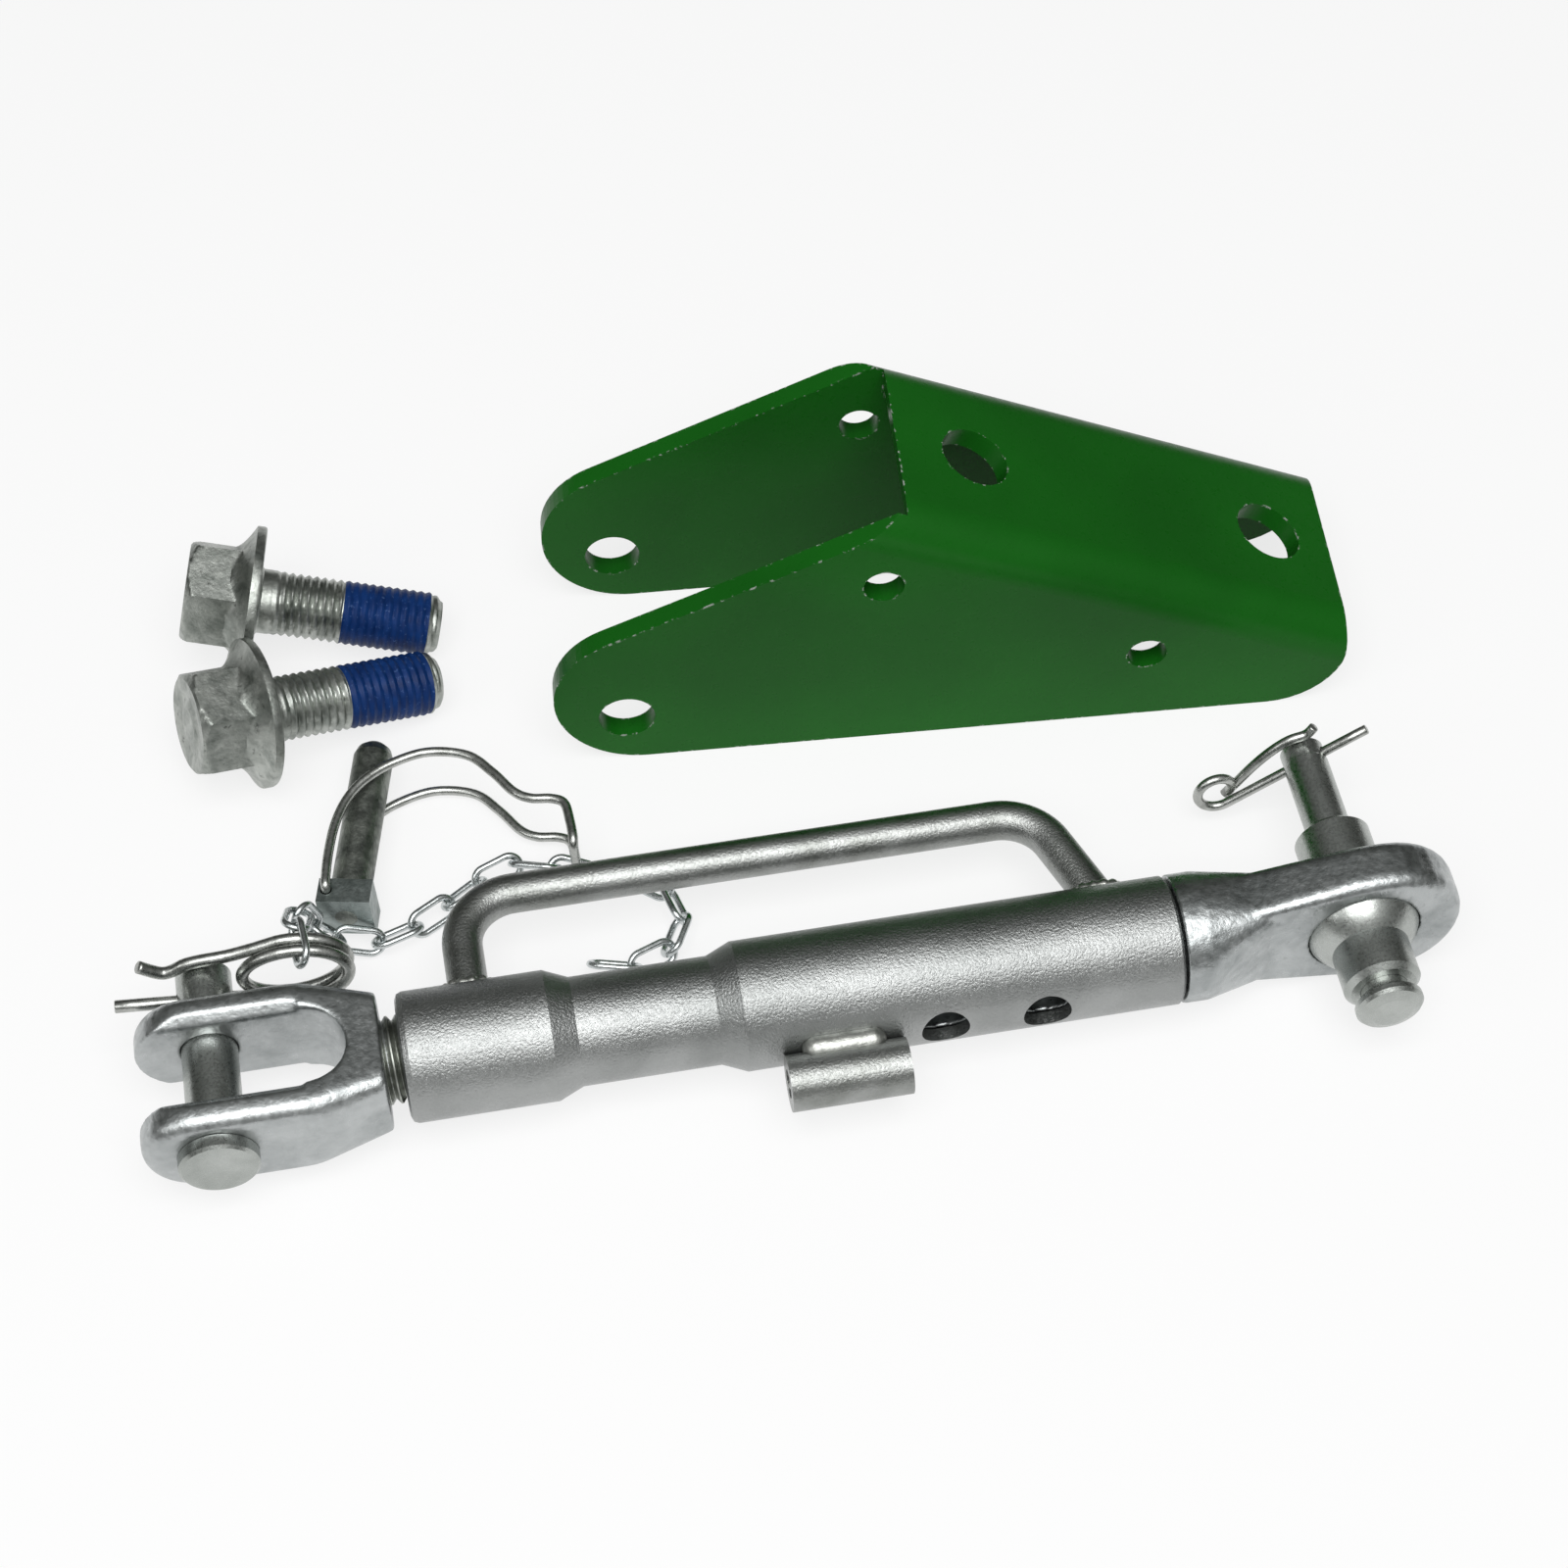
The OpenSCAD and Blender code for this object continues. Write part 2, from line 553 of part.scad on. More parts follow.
// Bow: two equal arms joined at the tip, with their ends turned into the head
bow_top = [[bow_hinge_x - 0.4, 2.5], [-7.4, 14], [-6.9, 27], [-4.2, 38.5], [1, 47.5], [9.5, 55], [22, 60.5],
    [36.5, 59.5], [46.5, 52], [55, 43.5], [61.5, 40.6], [69, 40.6], [73.8, 38.5], [76.5, 31], [78.2, 24.5]];
function lift(p, z) = [for (q = p) [q[0], q[1], z]];
function backwards(p) = [for (i = [len(p) - 1 : -1 : 0]) p[i]];
bow_arm = smooth(bow_top, 3);
bow_tip = bow_top[len(bow_top) - 1];
tip_bend = 3;
bow_path = concat(
    [[bow_hinge_x, 0, bow_z - 8], [bow_hinge_x, 0, bow_z - 3], [bow_hinge_x, 0.4, bow_z - 0.8]],
    lift(bow_arm, bow_z),
    [[bow_tip[0] + 0.3, bow_tip[1] - tip_bend * 0.8, bow_z - 0.8], [bow_tip[0] + 0.3, bow_tip[1] - tip_bend, bow_z - 3],
     [bow_tip[0] + 0.3, bow_tip[1] - tip_bend, 0],
     [bow_tip[0] + 0.3, bow_tip[1] - tip_bend, 3 - bow_z], [bow_tip[0] + 0.3, bow_tip[1] - tip_bend * 0.8, 0.8 - bow_z]],
    lift(backwards(bow_arm), -bow_z),
    [[bow_hinge_x, 0.4, 0.8 - bow_z], [bow_hinge_x, 0, 3 - bow_z], [bow_hinge_x, 0, 8 - bow_z]]);
module lock_pin_bow() {
    color(zinc) lock_place() wire(bow_path, bow_wire_d, [1, 0, 0]);
}

// Chain: each link has a heading, a climb and a roll about its own length
link_gap = 0.7;
link_pitch = link_len - 2 * link_wire_d - link_gap;
chain_start = [coil_x + 0.2 * clip_coil_a, clip_hole_y - 0.31 * clip_wire_d, coil_z + clip_coil_r - 0.12 * link_wire_d];
chain_turns = [[95, -1, 119], [82, -36, 19], [43, -71, 90], [16, -57, -9], [-4, -20, 54],
    [18, 0, -34], [29, 2, 54], [33, 1, -38], [18, 7, 52], [-21, 6, -52],
    [-27, -1, 28], [3, -8, 126], [-37, -5, 46], [-76, -1, -57], [-117, 2, 47],
    [-157, 4, -52], [166, 3, 48]];
function step_of(t) = link_pitch * [cos(t[0]) * cos(t[1]), sin(t[0]) * cos(t[1]), sin(t[1])];
function joints(i) = i == 0 ? [chain_start] : let (p = joints(i - 1)) concat(p, [p[i - 1] + step_of(chain_turns[i - 1])]);
chain_joints = joints(len(chain_turns));
module link() {
    half = (link_len - link_w) / 2;
    r = (link_w - link_wire_d) / 2;
    for (s = [-1, 1]) {
        translate([s * half, 0, 0]) rotate([0, 0, -90 * s]) rotate_extrude(angle = 180, $fn = 32)
            translate([r, 0]) circle(d = link_wire_d, $fn = 16);
        translate([-half, s * r, 0]) rotate([0, 90, 0]) cylinder(d = link_wire_d, h = 2 * half, $fn = 16);
    }
}
module chain_links(first) {
    for (i = [first : 2 : len(chain_turns) - 1]) {
        t = chain_turns[i];
        translate((chain_joints[i] + chain_joints[i + 1]) / 2) rotate([0, -t[1], t[0]]) rotate([t[2], 0, 0]) link();
    }
}
module chain_links_even() {
    color(zinc) chain_links(0);
}
module chain_links_odd() {
    color(zinc) chain_links(1);
}

// Bracket: folded channel that stands on the lower edges of its sides
bracket_x = 159.3;
bracket_y = 134.8;
bracket_yaw = -4.4;
web_slope = atan((web_high_z - web_low_z) / (bracket_end - web_start));
ear_x = 6.8;
top_slope = 24.9;
end_r = 28;
web_hole_a = [[130.6, bracket_w / 2], [241.5, bracket_w / 2]];
side_holes = [[93.2, 82.7], [189.9, 33.7]];
module side_outline() {
    ear = [for (a = [270 : -5 : 90 + top_slope]) [ear_x + ear_r * cos(a), ear_r + ear_r * sin(a)]];
    top_a = [ear_x + ear_r * cos(90 + top_slope), ear_r + ear_r * sin(90 + top_slope)];
    peak_x = web_start;
    peak_z = top_a[1] + (peak_x - top_a[0]) * tan(top_slope);
    low = [for (a = [0 : -9 : -90]) [bracket_end - end_r + end_r * cos(a), end_r + end_r * sin(a)]];
    polygon(concat(ear, [[peak_x, peak_z], [peak_x + 10, peak_z + 15],
        [bracket_end, web_low_z + 30]], low));
}
module fold_section(w, r) {
    translate([r, -r]) circle(r = r);
    translate([w - r, -r]) circle(r = r);
    translate([r, -r]) square([w - 2 * r, r]);
    translate([0, -2 * web_high_z]) square([w, 2 * web_high_z - r]);
}
module on_web(a) {
    translate([web_start, 0, web_high_z]) rotate([0, web_slope, 0]) translate([(a - web_start) / cos(web_slope), 0, 0])
        children();
}
module bracket_place() {
    translate([bracket_x, bracket_y, floor_z]) rotate([0, 0, bracket_yaw]) children();
}
module bracket() {
    color(green) bracket_place() difference() {
        intersection() {
            translate([0, bracket_w, 0]) rotate([90, 0, 0]) linear_extrude(bracket_w) side_outline();
            on_web(-bracket_end) rotate([90, 0, 90]) linear_extrude(3 * bracket_end) difference() {
                fold_section(bracket_w, fold_r);
                translate([plate_t, -plate_t]) fold_section(bracket_w - 2 * plate_t, fold_r - plate_t);
            }
        }
        translate([-2 * ear_r, plate_t, -1])
            cube([web_start + 2 * ear_r, bracket_w - 2 * plate_t, 2 * web_high_z]);
        translate([0, -1, ear_hole_z]) rotate([-90, 0, 0]) cylinder(d = ear_hole_d, h = bracket_w + 2);
        for (h = side_holes)
            translate([h[0], -1, h[1]]) rotate([-90, 0, 0]) cylinder(d = side_hole_d, h = bracket_w + 2);
        for (h = web_hole_a)
            on_web(h[0]) translate([0, h[1], -plate_t - 1]) cylinder(d = web_hole_d, h = plate_t + 2);
    }
}

// Bolts: flange bolts lying on flange rim and shank end
bolt_tilt = asin((bolt_flange_d - bolt_d) / 2 / bolt_len);
bolt_back_at = [26, 213.5, -10];
bolt_front_at = [22.5, 157, 14];
thread_start = 8;
shank_end_bevel = 2;
patch_t = 0.3;
module bolt_place(at) {
    translate([at[0], at[1], floor_z]) rotate([0, 0, at[2]]) rotate([0, bolt_tilt, 0])
        translate([0, 0, bolt_flange_d / 2]) rotate([0, 90, 0]) children();
}
module hex_bolt() {
    rim_t = 3.6;
    cone_h = 5.4;
    cap_h = bolt_head_h - rim_t - cone_h;
    difference() {
        union() {
            translate([0, 0, -rim_t]) cylinder(d = bolt_flange_d, h = rim_t);
            translate([0, 0, -rim_t - cone_h]) cylinder(d1 = bolt_flats + 2, d2 = bolt_flange_d, h = cone_h, $fn = 64);
            intersection() {
                translate([0, 0, -bolt_head_h]) rotate([0, 0, 15]) cylinder(d = bolt_flats / cos(30), h = cap_h + 2, $fn = 6);
                translate([0, 0, -bolt_head_h]) cylinder(d1 = bolt_flats - 1, d2 = bolt_flats + 2 * bolt_head_h, h = bolt_head_h + 1);
            }
            cylinder(d = bolt_d, h = bolt_len - shank_end_bevel);
            translate([0, 0, bolt_len - shank_end_bevel])
                cylinder(d1 = bolt_d, d2 = bolt_d - 2 * shank_end_bevel, h = shank_end_bevel);
        }
        translate([0, 0, -bolt_head_h - 1]) difference() {
            cylinder(d = bolt_flats * 0.62, h = 1.8);
            cylinder(d = bolt_flats * 0.4, h = 1.8);
        }
        translate([0, 0, bolt_len - shank_end_bevel - patch_len - 2]) difference() {
            cylinder(d = bolt_d + 1, h = patch_len);
            translate([0, 0, -1]) cylinder(d = bolt_d - 2 * patch_t, h = patch_len + 2);
        }
    }
}
module locking_patch() {
    translate([0, 0, bolt_len - shank_end_bevel - patch_len - 2]) difference() {
        cylinder(d = bolt_d, h = patch_len);
        translate([0, 0, -1]) cylinder(d = bolt_d - 2 * patch_t, h = patch_len + 2);
    }
}
module bolt_back() {
    color(dark_zinc) bolt_place(bolt_back_at) hex_bolt();
}
module bolt_back_patch() {
    color([0.1, 0.25, 0.65]) bolt_place(bolt_back_at) locking_patch();
}
module bolt_front() {
    color(dark_zinc) bolt_place(bolt_front_at) hex_bolt();
}
module bolt_front_patch() {
    color([0.1, 0.25, 0.65]) bolt_place(bolt_front_at) locking_patch();
}

barrel_tube();
thread_insert();
handle_bar();
handle_welds();
lug_tube();
lug_weld();
fork();
fork_pin();
fork_clip();
eye_rod();
swivel_ball();
ball_pin();
ball_pin_clip();
lock_pin_shank();
lock_pin_head();
lock_pin_bow();
chain_links_odd();
chain_links_even();
bracket();
bolt_back();
bolt_back_patch();
bolt_front();
bolt_front_patch();
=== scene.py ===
import math

import bpy
from mathutils import Matrix, Vector, noise


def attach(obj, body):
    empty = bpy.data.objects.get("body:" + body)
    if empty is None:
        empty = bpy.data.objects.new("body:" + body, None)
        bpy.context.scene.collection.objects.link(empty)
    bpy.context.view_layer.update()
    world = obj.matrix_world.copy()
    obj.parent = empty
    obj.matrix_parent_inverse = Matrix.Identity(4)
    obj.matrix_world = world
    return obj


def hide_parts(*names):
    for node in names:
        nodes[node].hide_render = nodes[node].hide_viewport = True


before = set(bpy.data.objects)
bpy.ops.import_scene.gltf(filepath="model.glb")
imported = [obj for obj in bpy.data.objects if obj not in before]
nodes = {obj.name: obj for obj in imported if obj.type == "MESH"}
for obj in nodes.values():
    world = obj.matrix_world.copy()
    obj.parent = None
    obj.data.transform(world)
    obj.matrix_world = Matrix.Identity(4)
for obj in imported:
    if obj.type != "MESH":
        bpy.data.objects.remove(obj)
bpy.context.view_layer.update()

# Studio and materials are in metres, the mesh helpers and the pieces in millimetres.
MM = 0.001
FLOOR_MM = -27
FLOOR_Z = FLOOR_MM * MM

# Camera and studio

CAMERA_LENS = 76.68
CAMERA_PLACE = (0.09202, -0.62789, 0.93749)
CAMERA_RIGHT = (0.98435, -0.17585, -0.01164)
CAMERA_FORWARD = (0.09882, 0.60545, -0.78972)

# The world is brightest overhead and a little towards the camera. Its steps run from
# the side away from there to the bright side.
WORLD_BRIGHT_SIDE = (0.02, -0.42, 0.9)
WORLD_STEPS = (
    (0.15, (0.075, 0.078, 0.072)),
    (0.55, (0.17, 0.175, 0.17)),
    (0.82, (0.50, 0.505, 0.50)),
    (1.0, (0.95, 0.95, 0.95)),
)

FLOOR_HALF = 3.0
FLOOR_DROP = 0.0003
FLOOR_COLOUR = (0.9, 0.9, 0.9, 1)
FLOOR_WHITE_SHARE = 0.78
WHITE = (1, 1, 1, 1)


def make_camera():
    data = bpy.data.cameras.new("camera")
    data.sensor_width = 36
    data.lens = CAMERA_LENS
    data.clip_start = 0.05
    data.clip_end = 20
    cam = bpy.data.objects.new("camera", data)
    bpy.context.scene.collection.objects.link(cam)
    right = Vector(CAMERA_RIGHT).normalized()
    forward = Vector(CAMERA_FORWARD).normalized()
    up = right.cross(forward).normalized()
    right = forward.cross(up).normalized()
    m = Matrix((right, up, -forward)).transposed().to_4x4()
    m.translation = Vector(CAMERA_PLACE)
    cam.matrix_world = m
    bpy.context.scene.camera = cam


def area_light(name, place, target, size, power):
    data = bpy.data.lights.new(name, "AREA")
    data.shape = "RECTANGLE"
    data.size, data.size_y = size
    data.energy = power
    ob = bpy.data.objects.new(name, data)
    bpy.context.scene.collection.objects.link(ob)
    ob.location = place
    aim = Vector(target) - Vector(place)
    ob.rotation_euler = aim.to_track_quat("-Z", "Y").to_euler()


def set_ramp(ramp, stops):
    """Fill a new colour ramp with stops of (position, colour), from low to high."""
    e = ramp.color_ramp.elements
    e[0].position = stops[0][0]
    e[1].position = stops[-1][0]
    for position, _ in stops[1:-1]:
        e.new(position)
    for element, (_, colour) in zip(e, stops):
        element.color = (*colour, 1)


def make_world():
    world = bpy.data.worlds.new("studio")
    bpy.context.scene.world = world
    world.use_nodes = True
    tree = world.node_tree
    tree.nodes.clear()
    out = tree.nodes.new("ShaderNodeOutputWorld")
    mix = tree.nodes.new("ShaderNodeMixShader")
    path = tree.nodes.new("ShaderNodeLightPath")
    seen = tree.nodes.new("ShaderNodeBackground")
    seen.inputs["Color"].default_value = WHITE
    seen.inputs["Strength"].default_value = 1
    lit = tree.nodes.new("ShaderNodeBackground")
    coord = tree.nodes.new("ShaderNodeTexCoord")
    toward = tree.nodes.new("ShaderNodeVectorMath")
    toward.operation = "DOT_PRODUCT"
    toward.inputs[1].default_value = WORLD_BRIGHT_SIDE
    ramp = tree.nodes.new("ShaderNodeValToRGB")
    set_ramp(ramp, WORLD_STEPS)
    tree.links.new(coord.outputs["Generated"], toward.inputs[0])
    tree.links.new(toward.outputs["Value"], ramp.inputs[0])
    tree.links.new(ramp.outputs[0], lit.inputs["Color"])
    tree.links.new(path.outputs["Is Camera Ray"], mix.inputs[0])
    tree.links.new(lit.outputs[0], mix.inputs[1])
    tree.links.new(seen.outputs[0], mix.inputs[2])
    tree.links.new(mix.outputs[0], out.inputs["Surface"])


def make_floor():
    s = FLOOR_HALF
    z = FLOOR_Z - FLOOR_DROP
    mesh = bpy.data.meshes.new("floor")
    mesh.from_pydata([(-s, -s, z), (s, -s, z), (s, s, z), (-s, s, z)], [], [(0, 1, 2, 3)])
    ob = bpy.data.objects.new("floor", mesh)
    bpy.context.scene.collection.objects.link(ob)
    mat = bpy.data.materials.new("floor")
    mat.use_nodes = True
    tree = mat.node_tree
    tree.nodes.clear()
    out = tree.nodes.new("ShaderNodeOutputMaterial")
    plain = tree.nodes.new("ShaderNodeBsdfDiffuse")
    plain.inputs["Color"].default_value = FLOOR_COLOUR
    glow = tree.nodes.new("ShaderNodeEmission")
    glow.inputs["Color"].default_value = WHITE
    both = tree.nodes.new("ShaderNodeMixShader")
    path = tree.nodes.new("ShaderNodeLightPath")
    share = tree.nodes.new("ShaderNodeMath")
    share.operation = "MULTIPLY"
    share.inputs[1].default_value = FLOOR_WHITE_SHARE
    seen = path.outputs["Is Camera Ray"]
    for ray in ("Is Glossy Ray", "Is Transmission Ray"):
        larger = tree.nodes.new("ShaderNodeMath")
        larger.operation = "MAXIMUM"
        tree.links.new(seen, larger.inputs[0])
        tree.links.new(path.outputs[ray], larger.inputs[1])
        seen = larger.outputs[0]
    tree.links.new(seen, share.inputs[0])
    tree.links.new(share.outputs[0], both.inputs[0])
    tree.links.new(plain.outputs[0], both.inputs[1])
    tree.links.new(glow.outputs[0], both.inputs[2])
    tree.links.new(both.outputs[0], out.inputs["Surface"])
    mesh.materials.append(mat)


make_camera()
make_world()
make_floor()
area_light("key", place=(0.10, -0.66, 1.55), target=(0.17, 0.05, 0), size=(1.5, 1.2), power=21.0)
area_light("side", place=(-1.1, -0.5, 0.9), target=(0.1, 0.1, 0), size=(0.6, 0.5), power=2.2)

bpy.context.scene.view_settings.view_transform = "Standard"

# Materials


class Shader:
    """A procedural material, built up from its Principled shader."""

    def __init__(self, name):
        self.mat = bpy.data.materials.new(name)
        self.mat.use_nodes = True
        self.tree = self.mat.node_tree
        self.bsdf = self.tree.nodes["Principled BSDF"]
        self.coord = self.tree.nodes.new("ShaderNodeTexCoord")

    def noise(self, scale, detail=2.0, rough=0.5, distortion=0.0):
        n = self.tree.nodes.new("ShaderNodeTexNoise")
        n.inputs["Scale"].default_value = scale
        n.inputs["Detail"].default_value = detail
        n.inputs["Roughness"].default_value = rough
        n.inputs["Distortion"].default_value = distortion
        self.tree.links.new(self.coord.outputs["Object"], n.inputs["Vector"])
        return n.outputs["Fac"]

    def ramp(self, fac, stops):
        r = self.tree.nodes.new("ShaderNodeValToRGB")
        set_ramp(r, stops)
        self.tree.links.new(fac, r.inputs[0])
        return r.outputs[0]

    def span(self, fac, a, b, lo, hi):
        m = self.tree.nodes.new("ShaderNodeMapRange")
        for k, v in zip(("From Min", "From Max", "To Min", "To Max"), (a, b, lo, hi)):
            m.inputs[k].default_value = v
        self.tree.links.new(fac, m.inputs["Value"])
        return m.outputs["Result"]

    def product(self, a, b):
        m = self.tree.nodes.new("ShaderNodeMath")
        m.operation = "MULTIPLY"
        self.tree.links.new(a, m.inputs[0])
        self.tree.links.new(b, m.inputs[1])
        return m.outputs[0]

    def mix(self, fac, a, b):
        m = self.tree.nodes.new("ShaderNodeMix")
        m.data_type = "RGBA"
        colours = {s.name: s for s in m.inputs if s.type == "RGBA"}
        self.tree.links.new(fac, m.inputs["Factor"])
        self.tree.links.new(a, colours["A"])
        colours["B"].default_value = (*b, 1)
        return [s for s in m.outputs if s.type == "RGBA"][0]

    def bump(self, height, strength, distance):
        b = self.tree.nodes.new("ShaderNodeBump")
        b.inputs["Strength"].default_value = strength
        b.inputs["Distance"].default_value = distance
        self.tree.links.new(height, b.inputs["Height"])
        last = self.bsdf.inputs["Normal"]
        if last.is_linked:
            self.tree.links.new(last.links[0].from_socket, b.inputs["Normal"])
        self.tree.links.new(b.outputs["Normal"], last)

    def edges(self, radius, lo, hi):
        """1 where a rounded edge's normal leans off its face's (product up to lo), 0 from hi."""
        bevel = self.tree.nodes.new("ShaderNodeBevel")
        bevel.inputs["Radius"].default_value = radius
        bevel.samples = 6
        geo = self.tree.nodes.new("ShaderNodeNewGeometry")
        dot = self.tree.nodes.new("ShaderNodeVectorMath")
        dot.operation = "DOT_PRODUCT"
        self.tree.links.new(bevel.outputs["Normal"], dot.inputs[0])
        self.tree.links.new(geo.outputs["Normal"], dot.inputs[1])
        return self.span(dot.outputs["Value"], lo, hi, 1.0, 0.0)

    def set(self, **values):
        for k, v in values.items():
            socket = self.bsdf.inputs[k.replace("_", " ")]
            if isinstance(v, float):
                socket.default_value = v
            else:
                self.tree.links.new(v, socket)


def metal(name, light, dark, rough, grain, depth, strength, blotch, spots):
    """Plated steel: fine grain in gloss and relief, broad blotches and dark specks in colour."""
    s = Shader(name)
    fine = s.noise(grain, 3.0, 0.6)
    broad = s.noise(blotch, 4.0, 0.6, distortion=0.4)
    colour = s.ramp(broad, [(0.30, dark), (0.62, light)])
    if spots:
        mask = s.span(s.noise(260, 4.0, 0.7), 0.60, 0.72, 0.0, spots)
        colour = s.mix(mask, colour, tuple(0.35 * c for c in dark))
    gloss = s.span(fine, 0.3, 0.7, rough - 0.08, rough + 0.1)
    s.set(Metallic=1.0, Base_Color=colour, Roughness=gloss)
    s.bump(fine, strength, depth)
    return s.mat


def green_paint():
    """Semi-gloss paint with an uneven coat, chipped through to the steel along sharp edges."""
    s = Shader("green_paint")
    broad = s.noise(14, 3.0, 0.5)
    fine = s.noise(380, 2.0, 0.5)
    coat = s.ramp(broad, [(0.3, (0.006, 0.088, 0.006)), (0.7, (0.008, 0.118, 0.008))])
    chips = s.span(s.noise(420, 3.0, 0.6), 0.56, 0.62, 0.0, 1.0)
    worn = s.product(s.edges(0.0012, 0.93, 0.995), chips)
    colour = s.mix(worn, coat, (0.42, 0.45, 0.42))
    gloss = s.span(fine, 0.3, 0.7, 0.26, 0.36)
    s.set(Base_Color=colour, Roughness=gloss, Metallic=0.0, Specular_IOR_Level=0.12)
    s.bump(fine, 0.35, 0.00012)
    s.bump(broad, 0.25, 0.0006)
    return s.mat


def locking_patch():
    """Dry blue thread-locking coat with pale rubbed spots."""
    s = Shader("locking_patch")
    broad = s.noise(160, 4.0, 0.6)
    coat = s.ramp(broad, [(0.3, (0.002, 0.018, 0.090)), (0.7, (0.005, 0.036, 0.160))])
    pale = s.span(s.noise(700, 2.0, 0.6), 0.62, 0.72, 0.0, 0.5)
    colour = s.mix(pale, coat, (0.08, 0.15, 0.34))
    s.set(Base_Color=colour, Roughness=0.45, Metallic=0.0, Specular_IOR_Level=0.18)
    s.bump(broad, 0.4, 0.0003)
    return s.mat


# Each metal: material name, light colour, dark colour, roughness,
# grain scale, grain depth, grain strength, blotch scale, dark specks
METALS = {
    "tube": ("zinc_tube", (0.38, 0.39, 0.385), (0.29, 0.30, 0.295), 0.35,
        1150, 0.0004, 0.75, 28, 0.0),
    "handle": ("zinc_handle", (0.36, 0.37, 0.36), (0.24, 0.25, 0.235), 0.34,
        1150, 0.0003, 0.7, 60, 0.25),
    "forged": ("zinc_forged", (0.50, 0.52, 0.52), (0.36, 0.38, 0.38), 0.34,
        420, 0.00035, 0.6, 60, 0.0),
    "eye": ("zinc_eye", (0.46, 0.48, 0.48), (0.30, 0.32, 0.32), 0.32,
        380, 0.0004, 0.6, 70, 0.3),
    "pin": ("turned_pin", (0.46, 0.48, 0.46), (0.36, 0.38, 0.36), 0.30,
        1100, 0.0001, 0.5, 60, 0.0),
    "dark": ("dark_steel", (0.30, 0.32, 0.29), (0.10, 0.11, 0.10), 0.42,
        500, 0.0005, 0.5, 120, 0.5),
    "block": ("block_face", (0.32, 0.36, 0.35), (0.16, 0.19, 0.18), 0.40,
        400, 0.0004, 0.5, 130, 0.5),
    "wire": ("spring_wire", (0.50, 0.51, 0.49), (0.30, 0.31, 0.29), 0.28,
        800, 0.0001, 0.5, 150, 0.0),
    "chain": ("chain_wire", (0.66, 0.69, 0.69), (0.42, 0.45, 0.45), 0.24,
        700, 0.0001, 0.5, 180, 0.0),
    "weld": ("weld_bead", (0.50, 0.51, 0.48), (0.26, 0.27, 0.25), 0.38,
        500, 0.0004, 0.5, 200, 0.4),
    "thread": ("cut_thread", (0.42, 0.44, 0.40), (0.20, 0.21, 0.19), 0.34,
        500, 0.00012, 0.5, 200, 0.0),
    "bolt": ("bolt_coat", (0.46, 0.48, 0.45), (0.22, 0.24, 0.22), 0.40,
        420, 0.0004, 0.5, 130, 0.75),
}
mats = {key: metal(*row) for key, row in METALS.items()}
mats["paint"] = green_paint()
mats["patch"] = locking_patch()

DRESS = {
    "tube": ["barrel_tube"],
    "handle": ["handle_bar", "lug_tube"],
    "forged": ["fork"],
    "eye": ["eye_rod"],
    "pin": ["fork_pin", "swivel_ball", "ball_pin"],
    "dark": ["lock_pin_shank"],
    "block": ["lock_pin_head"],
    "wire": ["fork_clip", "ball_pin_clip", "lock_pin_bow"],
    "chain": ["chain_links_odd", "chain_links_even"],
    "weld": ["handle_welds", "lug_weld"],
    "thread": ["thread_insert"],
    "bolt": ["bolt_back", "bolt_front"],
    "paint": ["bracket"],
    "patch": ["bolt_back_patch", "bolt_front_patch"],
}
for mat, dressed in DRESS.items():
    for name in dressed:
        nodes[name].data.materials.clear()
        nodes[name].data.materials.append(mats[mat])


# Mesh helpers


def add_piece(name, points, faces, body, mats_used, face_mats=None):
    mesh = bpy.data.meshes.new(name)
    mesh.from_pydata([tuple(c * MM for c in p) for p in points], [], faces)
    for m in mats_used:
        mesh.materials.append(mats[m])
    if face_mats:
        for poly, k in zip(mesh.polygons, face_mats):
            poly.material_index = k
    mesh.polygons.foreach_set("use_smooth", [True] * len(mesh.polygons))
    mesh.validate()
    ob = bpy.data.objects.new(name, mesh)
    bpy.context.scene.collection.objects.link(ob)
    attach(ob, body)
    return ob


def ring_faces(rows, sides):
    """Quads between neighbouring rings of points."""
    out = []
    for i in range(rows - 1):
        for k in range(sides):
            k2 = (k + 1) % sides
            a, b = i * sides, (i + 1) * sides
            out.append((a + k, a + k2, b + k2, b + k))
    return out


# The cap at a bar's end: its share of the bar's radius, and the bulge as a share of it
END_CAP, END_DOME = 0.8, 0.12


def tube_mesh(path, radius, start, sides=16):
    """A round bar along path with slightly domed ends. radius may depend on the share run."""
    pts = [Vector(p) for p in path]
    n = len(pts)
    last = n - 1
    tans = [(pts[min(i + 1, last)] - pts[max(i - 1, 0)]).normalized() for i in range(n)]
    radii = [radius(i / last) if callable(radius) else radius for i in range(n)]
    normal = Vector(start)
    verts = []
    for i in range(n):
        normal = (normal - normal.dot(tans[i]) * tans[i]).normalized()
        side = tans[i].cross(normal)
        for k in range(sides):
            a = 2 * math.pi * k / sides
            verts.append(pts[i] + radii[i] * (math.cos(a) * normal + math.sin(a) * side))
    faces = ring_faces(n, sides)
    for end, sign in ((0, -1), (last, 1)):
        ring = [end * sides + k for k in range(sides)]
        inner = []
        for k in ring:
            inner.append(len(verts))
            dome = tans[end] * sign * radii[end] * END_DOME
            verts.append(pts[end] + (verts[k] - pts[end]) * END_CAP + dome)
        for k in range(sides):
            k2 = (k + 1) % sides
            quad = (ring[k], ring[k2], inner[k2], inner[k])
            faces.append(quad if sign > 0 else quad[::-1])
        cap = tuple(inner)
        faces.append(cap if sign > 0 else cap[::-1])
    return verts, faces


